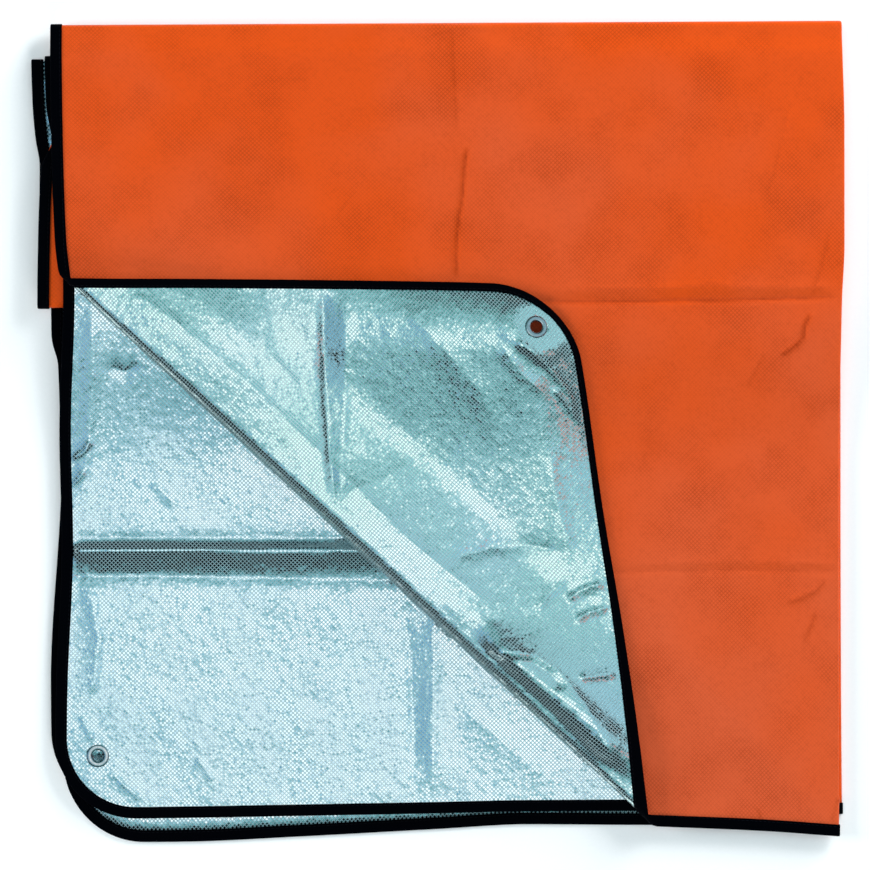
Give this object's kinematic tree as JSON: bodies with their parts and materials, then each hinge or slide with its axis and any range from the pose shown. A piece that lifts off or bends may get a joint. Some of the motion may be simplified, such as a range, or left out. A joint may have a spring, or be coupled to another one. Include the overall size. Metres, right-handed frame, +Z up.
{
  "type": "folded emergency foil blanket",
  "caption": "Reinforced foil survival blanket, orange outside and silver inside, bound in black tape with corner eyelets, folded flat with one corner turned up.",
  "frame": {"origin": "on the surface that the folded blanket lies on, at the middle of its footprint", "axes": "+Z up, +Y towards the top fold, +X towards the half-width fold"},
  "size_m": [0.7981, 0.8066, 0.0444],
  "materials": {
    "orange_film": "satin orange coated film over a diagonal scrim, silvered on the inner face",
    "black_tape": "matt woven polyester tape, stitched",
    "plated_metal": "plated eyelet, slightly dulled"
  },
  "bodies": {
    "root": {"blanket_sheet": "orange_film", "edge_binding": "black_tape", "eyelet_front_top": "plated_metal", "eyelet_front_under": "plated_metal", "eyelet_back_upper": "plated_metal", "eyelet_back_lower": "plated_metal"}
  },
  "joints": []
}
